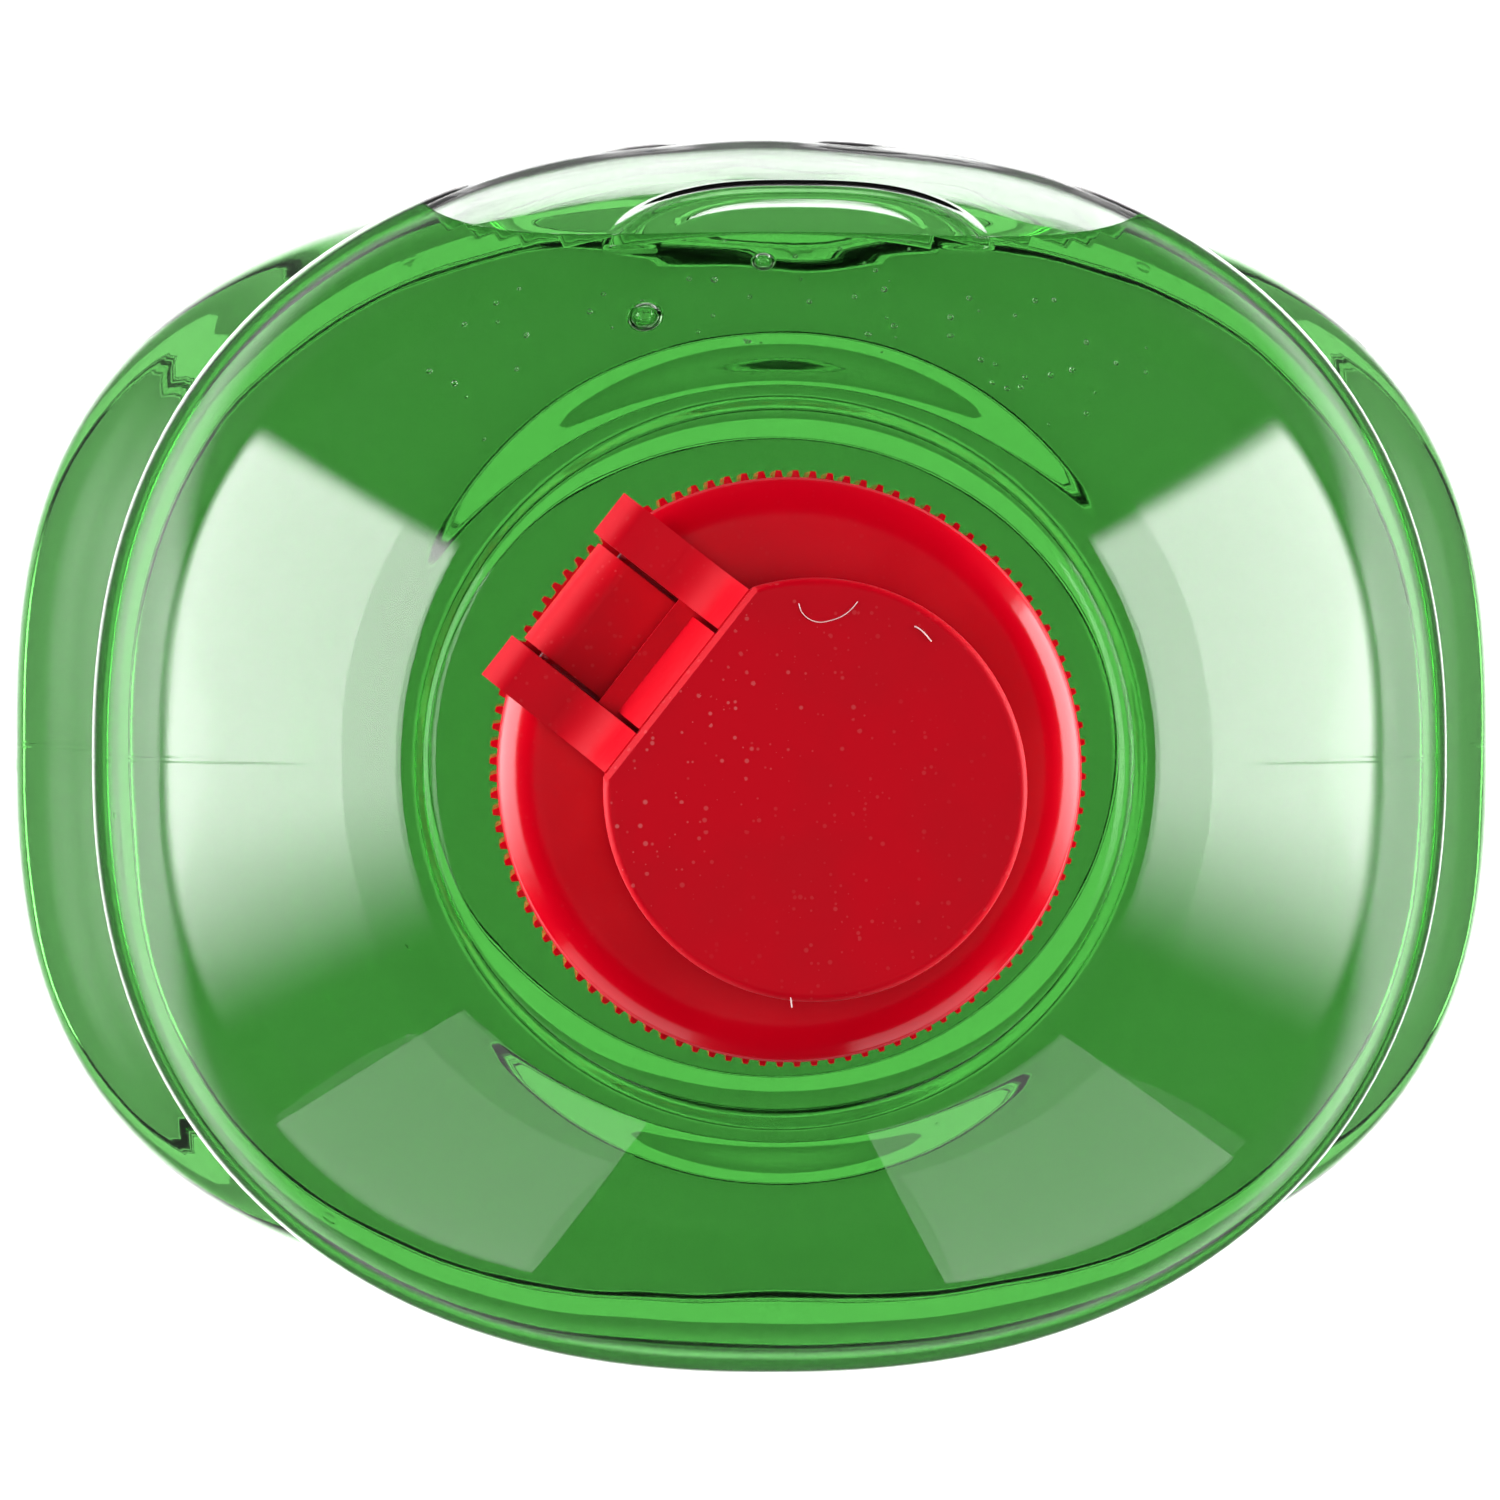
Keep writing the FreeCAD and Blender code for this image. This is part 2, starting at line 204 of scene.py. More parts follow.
# Lamps, in metres: low edge, high edge, width and radiance, and the azimuth of each
LAMP_DISTANCE = 0.6
LAMP_COLOUR = (1.0, 0.955, 0.99)
SOFTBOX = (0.01, 0.53, 0.86, 12.0)
SOFTBOXES = (("softbox_left", 180), ("softbox_right", 0))
CARD = (0.005, 0.38, 0.34, 2.0)
CARDS = (("card_left", 236), ("card_right", 300))
FILL_RADIANCE = 2.3
FILL_SIZE = 0.7
FILL_RISE = 0.85

# Fades of a softbox: towards the front, towards the back and at its foot, in metres
SOFTBOX_FRONT = (-0.34, 0.04)
SOFTBOX_REAR = (0.425, 0.365)
SOFTBOX_FOOT = (0.01, 0.06)

# Backdrop: from which to which height it darkens, and from what to what
SKY_BAND = (-0.02, 0.22)
SKY_LEVELS = (0.85, 0.07)

# Floor: its glow, and where it is dark in reflections, in metres from the middle
FLOOR_SIZE = 8.0
FLOOR_GREY = (0.8, 0.8, 0.8, 1)
FLOOR_DARK = (0.06, 0.06, 0.06, 1)
FLOOR_GLOW = 0.88
FLOOR_FADE = (0.11, 0.24)
RING_IN = (0.075, 0.10)
RING_OUT = (0.24, 0.16)

# Camera: its place and aim in millimetres from the axis, at the height of the ribs
CAMERA_HEIGHT = 0.6
CAMERA_SPOT = (-14.2, 10.0)
CAMERA_AIM = (-2.03, 1.0)
CAMERA_LENS = 267.8
RIB_DROP = 8.9


class SoapBottleSettings(bpy.types.PropertyGroup):
    """Sizes and colours of the bottle that a user would change"""

    wall: bpy.props.FloatProperty(
        name="Wall", description="Thickness of the blown wall", default=0.55 * MM,
        min=0.2 * MM, max=2 * MM, precision=5, unit="LENGTH")
    fill_height: bpy.props.FloatProperty(
        name="Fill height", description="Height of the soap's surface above the base",
        default=200.5 * MM, min=0.19, max=0.21, precision=4, unit="LENGTH")
    segments: bpy.props.IntProperty(
        name="Segments", description="Points round each outline of the bottle", default=192,
        min=32, max=256)
    soap_colour: bpy.props.FloatVectorProperty(
        name="Soap", description="Colour that the soap lets through", subtype="COLOR",
        size=4, min=0, max=1, default=(0.077, 0.585, 0.012, 1))
    soap_density: bpy.props.FloatProperty(
        name="Soap density", description="How quickly the soap takes up light, per metre",
        default=16.8, min=0, max=200)
    cap_colour: bpy.props.FloatVectorProperty(
        name="Cap", description="Colour of the moulded cap", subtype="COLOR",
        size=4, min=0, max=1, default=(0.515, 0.0, 0.008, 1))
    lid_colour: bpy.props.FloatVectorProperty(
        name="Lid", description="Colour of the lid's matt top", subtype="COLOR",
        size=4, min=0, max=1, default=(0.515, 0.0, 0.008, 1))


def mix(start, end, share):
    """The values that lie at a share of the way between two sets of values."""
    return tuple(a + (b - a) * share for a, b in zip(start, end))


def outline_stations():
    """The outlines that shape the bottle, from the foot to the root of the neck."""
    stations = []
    for angle in HEEL_ANGLES:
        turn = math.radians(angle)
        outline = mix(FOOT, HEEL, math.sin(turn))
        stations.append((*outline[:3], HEEL_RADIUS * (1 - math.cos(turn))))
    for share in LOWER_SHARES:
        outline = mix(HEEL, LOWER, math.sin(math.pi / 2 * share))
        stations.append((*outline[:3], HEEL[3] + (LOWER[3] - HEEL[3]) * share))
    for start, end in ((LOWER, WAIST), (WAIST, BULGE)):
        for share in WAIST_SHARES:
            outline = mix(start, end, (1 - math.cos(math.pi * share)) / 2)
            stations.append((*outline[:3], start[3] + (end[3] - start[3]) * share))
    for share in DOME_SHARES:
        outline = mix(BULGE, COLLAR, share**DOME_POWER)
        stations.append((*outline[:3], BULGE[3] + (COLLAR[3] - BULGE[3]) * share))
    for angle in COLLAR_ANGLES:
        turn = math.radians(angle)
        outline = mix(COLLAR, NECK_ROOT, math.sin(turn))
        rise = (NECK_ROOT[3] - COLLAR[3]) * (1 - math.cos(turn))
        stations.append((*outline[:3], COLLAR[3] + rise))
    return stations


def inset_stations(inset, soft_collar=False):
    """The same outlines moved inwards, square to the front profile.

    A soft collar leaves out the outline at the crease between dome and collar.
    """
    stations = outline_stations()
    if soft_collar:
        stations = [station for station in stations if abs(station[3] - COLLAR[3]) > CLOSE]
    moved = []
    for i, (width, depth, square, height) in enumerate(stations):
        before = stations[max(i - 1, 0)]
        after = stations[min(i + 1, len(stations) - 1)]
        run = after[0] - before[0]
        rise = after[3] - before[3]
        length = math.hypot(run, rise)
        moved.append((
            width - inset * rise / length, depth - inset * rise / length,
            square, height + inset * run / length,
        ))
    return moved


def smooth_course(stations, steps):
    """A smooth course through stations, with the given number of steps between each two."""
    along = [0.0]
    for before, after in zip(stations, stations[1:]):
        along.append(along[-1] + math.hypot(after[0] - before[0], after[3] - before[3]))
    slopes = []
    for i in range(len(stations)):
        low = max(i - 1, 0)
        high = min(i + 1, len(stations) - 1)
        span = along[high] - along[low]
        slopes.append(tuple((b - a) / span for a, b in zip(stations[low], stations[high])))
    course = [stations[0]]
    for i in range(len(stations) - 1):
        span = along[i + 1] - along[i]
        for step in range(1, steps + 1):
            t = step / steps
            start = 2 * t**3 - 3 * t**2 + 1
            lead = (t**3 - 2 * t**2 + t) * span
            trail = (t**3 - t**2) * span
            course.append(tuple(
                start * a + lead * u + (1 - start) * b + trail * v
                for a, u, b, v in zip(stations[i], slopes[i], stations[i + 1], slopes[i + 1])
            ))
    return course


def push_up_rings(inset, outline):
    """Rings of the dome pressed up into the base, from near its top out to the foot."""
    half_width = PUSH_UP[0] + inset
    half_depth = PUSH_UP[1] + inset
    rise = PUSH_UP[2] + inset
    floor = outline[3]
    rings = []
    for step in range(1, PUSH_UP_STEPS + 1):
        turn = math.radians(90 * step / PUSH_UP_STEPS)
        height = rise * math.cos(turn)
        if height < floor:
            break
        rings.append((half_width * math.sin(turn), half_depth * math.sin(turn), ROUND, height))
    edge = math.sqrt(1 - (floor / rise) ** 2)
    rings.append((half_width * edge, half_depth * edge, ROUND, floor))
    rings.append(mix(rings[-1], outline, 0.5))
    return rings


def round_ring(radius, height):
    """A ring that is a circle."""
    return (radius, radius, ROUND, height)


def neck_outside_rings():
    """The neck's outside: support ring with eased edges, straight barrel and rounded lip."""
    low = NECK_ROOT[3] - RING_HALF
    high = NECK_ROOT[3] + RING_HALF
    rings = [
        round_ring(NECK_RADIUS + UNDER_RING, low),
        round_ring(RING_RADIUS - RING_EASE, low),
        round_ring(RING_RADIUS, low + RING_EASE),
        round_ring(RING_RADIUS, high - RING_EASE),
        round_ring(RING_RADIUS - RING_EASE, high),
        round_ring(NECK_RADIUS + RING_EASE, high),
        round_ring(NECK_RADIUS, high + RING_EASE),
    ]
    thread_low = high + 2 * RING_EASE
    thread_high = NECK_TOP - 3 * LIP_ROUND
    for step in range(THREAD_STEPS + 1):
        height = thread_low + (thread_high - thread_low) * step / THREAD_STEPS
        rings.append((*round_ring(NECK_RADIUS, height), thread_swell))
    rings.append(round_ring(NECK_RADIUS, NECK_TOP - 2 * LIP_ROUND))
    for step in range(LIP_STEPS + 1):
        turn = math.radians(90 * step / LIP_STEPS)
        radius = NECK_RADIUS - LIP_ROUND * (1 - math.cos(turn))
        rings.append(round_ring(radius, NECK_TOP - LIP_ROUND * (1 - math.sin(turn))))
    rings.append(round_ring(NECK_BORE + RING_EASE, NECK_TOP))
    rings.append(round_ring(NECK_BORE, NECK_TOP - RING_EASE))
    return rings


def smooth_step(value):
    """Eases a value from 0 to 1."""
    share = min(max(value, 0.0), 1.0)
    return share * share * (3 - 2 * share)


def uneven_wall(angle, height):
    """How far the inner wall wanders in long streaks, in millimetres."""
    wide, deep, tall = UNEVEN_SPAN
    spot = Vector((wide * math.cos(angle), deep * math.sin(angle), tall * height)) / UNEVEN_WAVE
    foot, foot_run = UNEVEN_FOOT
    head, head_run = UNEVEN_HEAD
    fade = smooth_step((height - foot) / foot_run) * smooth_step((head - height) / head_run)
    share, finer = UNEVEN_RIPPLE
    return UNEVEN * fade * (noise.noise(spot) + share * noise.noise(spot * finer))


def thread_swell(angle, height):
    """How far the neck's thread stands out at a place, with faded ends."""
    around = (angle / math.tau) % 1.0
    swell = 0.0
    for turn in range(math.ceil(THREAD_TURNS)):
        along = turn + around
        off = abs(height - THREAD_LOW - along * THREAD_PITCH) / THREAD_HALF
        begun = smooth_step(along / THREAD_FADE)
        ended = smooth_step((THREAD_TURNS - along) / THREAD_FADE)
        crest = smooth_step((1 - off) * THREAD_CREST)
        swell = max(swell, THREAD_HEIGHT * begun * ended * crest)
    return swell


def ring_point(ring, angle):
    """The point of a ring at an angle. A fifth value is a function that swells the ring."""
    half_width, half_depth, square, height = ring[:4]
    c = math.cos(angle)
    s = math.sin(angle)
    reach = (abs(c / half_width) ** square + abs(s / half_depth) ** square) ** (-1 / square)
    if len(ring) > 4:
        reach += ring[4](angle, height)
    return Vector((reach * c, reach * s, height)) * MM


def deselect_all():
    """Clears the selection, because an operator acts on all that is selected."""
    bpy.ops.object.select_all(action="DESELECT")


def seat_ring(mesh, ring):
    """Moves the selected points onto a ring, each at its own angle."""
    shape = bmesh.from_edit_mesh(mesh)
    for vert in shape.verts:
        if vert.select:
            vert.co = ring_point(ring, math.atan2(vert.co.y, vert.co.x))
    bmesh.update_edit_mesh(mesh)


def select_open_rim(mesh):
    """Selects only the open edge loop of the shape that is being drawn."""
    bpy.ops.mesh.select_all(action="DESELECT")
    shape = bmesh.from_edit_mesh(mesh)
    for edge in shape.edges:
        if edge.is_boundary:
            edge.select_set(True)
    bmesh.update_edit_mesh(mesh)


def draw_rings(name, rings, segments, first_pole, last_pole):
    """A closed shape extruded ring by ring from one pole to the other, heights in millimetres."""
    deselect_all()
    bpy.ops.mesh.primitive_circle_add(vertices=segments, radius=1.0, fill_type="TRIFAN")
    piece = bpy.context.object
    piece.name = name
    piece.data.name = name
    bpy.ops.object.mode_set(mode="EDIT")
    bpy.ops.mesh.select_mode(type="EDGE")
    select_open_rim(piece.data)
    seat_ring(piece.data, rings[0])
    for ring in rings[1:]:
        bpy.ops.mesh.extrude_region_move()
        seat_ring(piece.data, ring)
    bpy.ops.mesh.extrude_region_move()
    bpy.ops.mesh.select_mode(type="VERT")
    bpy.ops.mesh.merge(type="CENTER")
    shape = bmesh.from_edit_mesh(piece.data)
    for vert in shape.verts:
        if vert.co.xy.length < 1e-7 or vert.select:
            vert.co = Vector((0, 0, (last_pole if vert.select else first_pole) * MM))
    bmesh.update_edit_mesh(piece.data)
    bpy.ops.mesh.select_all(action="SELECT")
    bpy.ops.mesh.normals_make_consistent(inside=False)
    bpy.ops.object.mode_set(mode="OBJECT")
    return piece


def select_only(piece):
    """Selects one piece and makes it the active one."""
    deselect_all()
    piece.select_set(True)
    bpy.context.view_layer.objects.active = piece


def smooth_by_angle(piece, degrees):
    """Shades a piece smooth, with edges sharper than the angle kept crisp."""
    select_only(piece)
    bpy.ops.object.shade_smooth_by_angle(angle=math.radians(degrees))


def new_material(name):
    """A new material with its node tree and its Principled BSDF."""
    material = bpy.data.materials.new(name)
    material.use_nodes = True
    tree = material.node_tree
    surface = tree.nodes["Principled BSDF"]
    return material, tree, surface


def set_only_material(piece, material):
    """Gives a piece one material in place of all it had."""
    piece.data.materials.clear()
    piece.data.materials.append(material)


def link(tree, source, target):
    """Feeds one node's output into another's input."""
    tree.links.new(source, target)


def math_node(tree, kind, first, second=None, clamp=False):
    """A math node fed by sockets or plain numbers, and its result."""
    node = tree.nodes.new("ShaderNodeMath")
    node.operation = kind
    node.use_clamp = clamp
    for socket, value in zip(node.inputs, (first, second)):
        if value is None:
            continue
        if isinstance(value, bpy.types.NodeSocket):
            link(tree, value, socket)
        else:
            socket.default_value = value
    return node.outputs[0]


def soft_range(tree, value, start, end, low=0.0, high=1.0):
    """Runs smoothly from low at start to high at end."""
    node = tree.nodes.new("ShaderNodeMapRange")
    node.interpolation_type = "SMOOTHSTEP"
    link(tree, value, node.inputs["Value"])
    node.inputs["From Min"].default_value = start
    node.inputs["From Max"].default_value = end
    node.inputs["To Min"].default_value = low
    node.inputs["To Max"].default_value = high
    return node.outputs[0]


def object_place(tree):
    """The place on the piece in its own coordinates."""
    return tree.nodes.new("ShaderNodeTexCoord").outputs["Object"]


def split_in_three(tree, vector):
    """The three numbers of a vector, as sockets."""
    split = tree.nodes.new("ShaderNodeSeparateXYZ")
    link(tree, vector, split.inputs[0])
    return split.outputs


def cloud_pattern(tree, place, scale, detail=2.0):
    """A cloudy pattern that runs from 0 to 1."""
    node = tree.nodes.new("ShaderNodeTexNoise")
    link(tree, place, node.inputs["Vector"])
    node.inputs["Scale"].default_value = scale
    node.inputs["Detail"].default_value = detail
    return node.outputs["Fac"]


def mix_colour(tree, share, first, second):
    """A colour between two, by a share that a socket gives."""
    node = tree.nodes.new("ShaderNodeMix")
    node.data_type = "RGBA"
    for socket, value in ((node.inputs[0], share), (node.inputs[6], first), (node.inputs[7], second)):
        if isinstance(value, bpy.types.NodeSocket):
            link(tree, value, socket)
        else:
            socket.default_value = value
    return node.outputs[2]


def speck_group():
    """Shader group: small specks of many sizes, as dust, bubbles or grit."""
    if "specks" in bpy.data.node_groups:
        return bpy.data.node_groups["specks"]
    group = bpy.data.node_groups.new("specks", "ShaderNodeTree")
    for name, start in (("Scale", 900.0), ("Size", 0.3), ("Share", 0.5)):
        socket = group.interface.new_socket(name, in_out="INPUT", socket_type="NodeSocketFloat")
        socket.default_value = start
    group.interface.new_socket("Mask", in_out="OUTPUT", socket_type="NodeSocketFloat")
    given = group.nodes.new("NodeGroupInput")
    result = group.nodes.new("NodeGroupOutput")
    cells = group.nodes.new("ShaderNodeTexVoronoi")
    link(group, object_place(group), cells.inputs["Vector"])
    link(group, given.outputs["Scale"], cells.inputs["Scale"])
    lot = group.nodes.new("ShaderNodeSeparateColor")
    link(group, cells.outputs["Color"], lot.inputs[0])
    kept = math_node(group, "LESS_THAN", lot.outputs[0], given.outputs["Share"])
    size = math_node(group, "MULTIPLY", lot.outputs[1], lot.outputs[1])
    size = math_node(group, "MULTIPLY", size, given.outputs["Size"])
    size = math_node(group, "ADD", size, 0.05)
    near = math_node(group, "DIVIDE", cells.outputs["Distance"], size)
    spot = soft_range(group, near, 1.0, 0.5)
    link(group, math_node(group, "MULTIPLY", spot, kept), result.inputs["Mask"])
    return group


def add_specks(tree, scale, size, share):
    """The mask of one lot of specks."""
    node = tree.nodes.new("ShaderNodeGroup")
    node.node_tree = speck_group()
    node.inputs["Scale"].default_value = scale
    node.inputs["Size"].default_value = size
    node.inputs["Share"].default_value = share
    return node.outputs["Mask"]


def add_bump(tree, surface, height, distance):
    """Gives a material a relief, whose height of 1 stands out by the distance."""
    bump = tree.nodes.new("ShaderNodeBump")
    bump.inputs["Distance"].default_value = distance
    bump.inputs["Strength"].default_value = 1.0
    link(tree, height, bump.inputs["Height"])
    link(tree, bump.outputs[0], surface.inputs["Normal"])


def lens_edge(tree, parts):
    """A rounded ridge where a film of soap outlines the caught air on the shoulder."""
    across = math_node(tree, "SUBTRACT", parts[0], LENS_MIDDLE[0] * MM)
    across = math_node(tree, "DIVIDE", across, LENS_SIZES[0] * MM)
    along = math_node(tree, "SUBTRACT", parts[1], LENS_MIDDLE[1] * MM)
    along = math_node(tree, "DIVIDE", along, LENS_SIZES[1] * MM)
    across = math_node(tree, "POWER", math_node(tree, "ABSOLUTE", across), LENS_SQUARENESS)
    square = math_node(tree, "ADD", across, math_node(tree, "MULTIPLY", along, along))
    off = math_node(tree, "ABSOLUTE", math_node(tree, "SUBTRACT", square, 1.0))
    ridge = soft_range(tree, off, LENS_FILM, 0.0)
    above = soft_range(tree, along, 0.0, 0.1)
    high = soft_range(tree, parts[2], LENS_HEIGHTS[0] * MM, LENS_HEIGHTS[1] * MM)
    return math_node(tree, "MULTIPLY", math_node(tree, "MULTIPLY", ridge, above), high)


def clear_pet_material(name, ior):
    """Clear blown PET: glossy, with a faint parting line down each side and fine scuffs."""
    material, tree, surface = new_material(name)
    surface.inputs["Base Color"].default_value = PET_TINT
    surface.inputs["Transmission Weight"].default_value = 1.0
    surface.inputs["IOR"].default_value = ior
    place = object_place(tree)
    parts = split_in_three(tree, place)
    off_middle = math_node(tree, "ABSOLUTE", parts[1])
    ridge = soft_range(tree, off_middle, PARTING_HALF * MM, 0.2 * PARTING_HALF * MM)
    off_middle = math_node(tree, "ABSOLUTE", parts[0])
    side = soft_range(tree, off_middle, PARTING_FROM[0] * MM, PARTING_FROM[1] * MM)
    ridge = math_node(tree, "MULTIPLY", ridge, side)
    grit = math_node(tree, "MULTIPLY", add_specks(tree, *GRIT), GRIT_RELIEF)
    lens = math_node(tree, "MULTIPLY", lens_edge(tree, parts), LENS_RELIEF)
    height = math_node(tree, "ADD", math_node(tree, "ADD", ridge, grit), lens)
    add_bump(tree, surface, height, PET_RELIEF * MM)
    scuff = cloud_pattern(tree, place, 60.0, detail=4.0)
    link(tree, soft_range(tree, scuff, 0.58, 0.75, 0.0, 0.045), surface.inputs["Roughness"])
    return material


def soap_material(settings):
    """Clear green soap that takes up light along its depth."""
    material, tree, surface = new_material("green_soap")
    surface.inputs["Base Color"].default_value = (1, 1, 1, 1)
    surface.inputs["Transmission Weight"].default_value = 1.0
    surface.inputs["IOR"].default_value = SOAP_IOR
    surface.inputs["Roughness"].default_value = 0.0
    depth = tree.nodes.new("ShaderNodeVolumeAbsorption")
    depth.inputs["Color"].default_value = settings.soap_colour
    depth.inputs["Density"].default_value = settings.soap_density
    link(tree, depth.outputs["Volume"], tree.nodes["Material Output"].inputs["Volume"])
    return material


def red_plastic_material(name, colour, roughness, specular, dust, grain):
    """Moulded polypropylene: cloudy gloss, a fine grain and dust on the faces that look up."""
    material, tree, surface = new_material(name)
    surface.inputs["IOR"].default_value = CAP_IOR
    surface.inputs["Specular IOR Level"].default_value = specular
    place = object_place(tree)
    height = split_in_three(tree, place)[2]
    cloud = cloud_pattern(tree, place, 160.0, detail=3.0)
    darker = tuple(0.93 * part for part in colour[:3]) + (1,)
    body = mix_colour(tree, soft_range(tree, cloud, 0.35, 0.65), darker, tuple(colour))

    # Dust lies on what looks up, in patches, and most of it on the lid by the hinge
    normal = tree.nodes.new("ShaderNodeTexCoord").outputs["Normal"]
    lying = soft_range(tree, split_in_three(tree, normal)[2], 0.5, 0.9)
    patchy = soft_range(tree, cloud_pattern(tree, place, 110.0), 0.38, 0.66, 0.25, 1.0)
    along = tree.nodes.new("ShaderNodeVectorMath")
    along.operation = "DOT_PRODUCT"
    link(tree, place, along.inputs[0])
    along.inputs[1].default_value = HINGE_WAY
    by_hinge = soft_range(tree, along.outputs["Value"], -3 * MM, 6 * MM, 0.25, 1.0)
    on_top = soft_range(tree, height, (LID_TOP - 0.8) * MM, (LID_TOP - 0.2) * MM, 0.2, 1.0)
    patchy = math_node(tree, "MULTIPLY", patchy, math_node(tree, "MULTIPLY", by_hinge, on_top))
    fine = add_specks(tree, *FINE_DUST)
    coarse = add_specks(tree, *COARSE_DUST)
    specks = math_node(tree, "MAXIMUM", math_node(tree, "MULTIPLY", fine, 0.55), coarse)
    specks = math_node(tree, "MULTIPLY", specks, math_node(tree, "MULTIPLY", lying, patchy))
    specks = math_node(tree, "MULTIPLY", specks, dust, clamp=True)
    link(tree, mix_colour(tree, specks, body, DUST_COLOUR), surface.inputs["Base Color"])

    rough = soft_range(tree, cloud, 0.3, 0.7, roughness * 0.85, roughness * 1.15)
    rough = math_node(tree, "ADD", rough, math_node(tree, "MULTIPLY", specks, 0.3))
    link(tree, rough, surface.inputs["Roughness"])
    skin = cloud_pattern(tree, place, 1500.0)
    relief = math_node(tree, "ADD", skin, math_node(tree, "MULTIPLY", specks, 0.8))
    add_bump(tree, surface, relief, grain * MM)
    return material


def finished_copy(node, name):
    """A copy of a CAD node: triangles joined into faces, sharp edges eased, shading evened."""
    select_only(frame["nodes"][node])
    bpy.ops.object.duplicate()
    piece = bpy.context.object
    piece.name = name
    piece.data.name = name
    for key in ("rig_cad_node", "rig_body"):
        if key in piece:
            del piece[key]
    piece.parent = None
    bpy.ops.object.mode_set(mode="EDIT")
    bpy.ops.mesh.select_all(action="SELECT")
    bpy.ops.mesh.remove_doubles(threshold=SAME_POINT * MM)
    bpy.ops.mesh.dissolve_limited(angle_limit=math.radians(FLAT_ANGLE))
    bpy.ops.object.mode_set(mode="OBJECT")
    bpy.ops.object.shade_smooth()
    ease = piece.modifiers.new("eased_edges", "BEVEL")
    ease.width = EDGE_EASE * MM
    ease.segments = 2
    ease.limit_method = "ANGLE"
    ease.angle_limit = math.radians(EDGE_ANGLE)
    ease.use_clamp_overlap = True
    ease.harden_normals = True
    bpy.ops.object.modifier_apply(modifier=ease.name)
    even = piece.modifiers.new("even_shading", "WEIGHTED_NORMAL")
    even.weight = 80
    bpy.ops.object.modifier_apply(modifier=even.name)
    return piece


def cut_air_pocket(piece):
    """Takes the caught air out of the soap, as a soft-cornered block that ends at its level."""
    deselect_all()
    bpy.ops.mesh.primitive_ico_sphere_add(subdivisions=6, radius=1.0)
    cutter = bpy.context.object
    bpy.ops.object.mode_set(mode="EDIT")
    shape = bmesh.from_edit_mesh(cutter.data)
    for vert in shape.verts:
        reach = sum(abs(part) ** 4 for part in vert.co) ** -0.25
        vert.co = Vector(
            (middle + size * part * reach) * MM
            for middle, size, part in zip(POCKET_MIDDLE, POCKET_SIZES, vert.co))
    bmesh.update_edit_mesh(cutter.data)
    bpy.ops.object.mode_set(mode="OBJECT")
    select_only(piece)
    cut = piece.modifiers.new("air_pocket", "BOOLEAN")
    cut.operation = "DIFFERENCE"
    cut.solver = "EXACT"
    cut.object = cutter
    bpy.ops.object.modifier_apply(modifier=cut.name)
    bpy.data.objects.remove(cutter)


def add_bubble(name, place, radius, levels):
    """A small void in the soap: a slightly flattened ball whose faces look into the air."""
    deselect_all()
    bpy.ops.mesh.primitive_ico_sphere_add(
        subdivisions=levels, radius=radius * MM, location=Vector(place) * MM)
    bubble = bpy.context.object
    bubble.name = name
    bpy.ops.object.mode_set(mode="EDIT")
    bpy.ops.mesh.select_all(action="SELECT")
    bpy.ops.transform.resize(value=(1, BUBBLE_SQUASH, 1))
    bpy.ops.mesh.flip_normals()
    bpy.ops.object.mode_set(mode="OBJECT")
    bpy.ops.object.transform_apply(location=True, rotation=True, scale=True)
    bpy.ops.object.shade_smooth()
    return bubble


def soap_bubbles():
    """Two bubbles held under the shoulder and a drift of specks round them."""
    bubbles = []
    for i, (place, radius) in enumerate(LARGE_BUBBLES):
        bubbles.append(add_bubble(f"bubble_{i}", place, radius, 3))
    chance = random.Random(SPECK_SEED)
    for i in range(SPECK_COUNT):
        angle = math.radians(chance.uniform(*SPECK_ANGLES))
        share = chance.uniform(*SPECK_SHARES) ** SPECK_CROWD
        reach = SPECK_REACH[0] + SPECK_REACH[1] * share
        height = SPECK_HEIGHTS[0] - SPECK_HEIGHTS[1] * share - chance.uniform(*SPECK_DEPTHS)
        place = (reach * math.cos(angle), reach * math.sin(angle) * SPECK_FLATTEN, height)
        radius = chance.uniform(*SPECK_SIZES)
        if place[1] < POCKET_LEVEL - SPECK_CLEAR:
            bubbles.append(add_bubble(f"speck_{i}", place, radius, 1))
    return bubbles


def add_fibre(name, points, radius, body):
    """A stray lint fibre that lies on a piece, along a few points in millimetres."""
    deselect_all()
    bpy.ops.curve.primitive_bezier_curve_add()
    fibre = bpy.context.object
    fibre.name = name
    bpy.ops.object.transform_apply(location=True, rotation=True, scale=True)
    line = fibre.data
    line.splines.clear()
    spline = line.splines.new("NURBS")
    spline.points.add(len(points) - 1)
    for point, place in zip(spline.points, points):
        point.co = (*(Vector(place) * MM), 1)
    spline.order_u = 4
    spline.use_endpoint_u = True
    line.bevel_depth = radius * MM
    line.bevel_resolution = 1
    line.resolution_u = 6
    line.use_fill_caps = True
    bpy.ops.object.convert(target="MESH")
    set_only_material(fibre, lint_material())
    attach(fibre, body)


def lint_material():
    """Pale lint with a little unevenness along its length."""
    if "pale_lint" in bpy.data.materials:
        return bpy.data.materials["pale_lint"]
    material, tree, surface = new_material("pale_lint")
    cloud = cloud_pattern(tree, object_place(tree), 2000.0)
    link(tree, mix_colour(tree, cloud, *LINT_COLOURS), surface.inputs["Base Color"])
    surface.inputs["Roughness"].default_value = 0.7
    return material


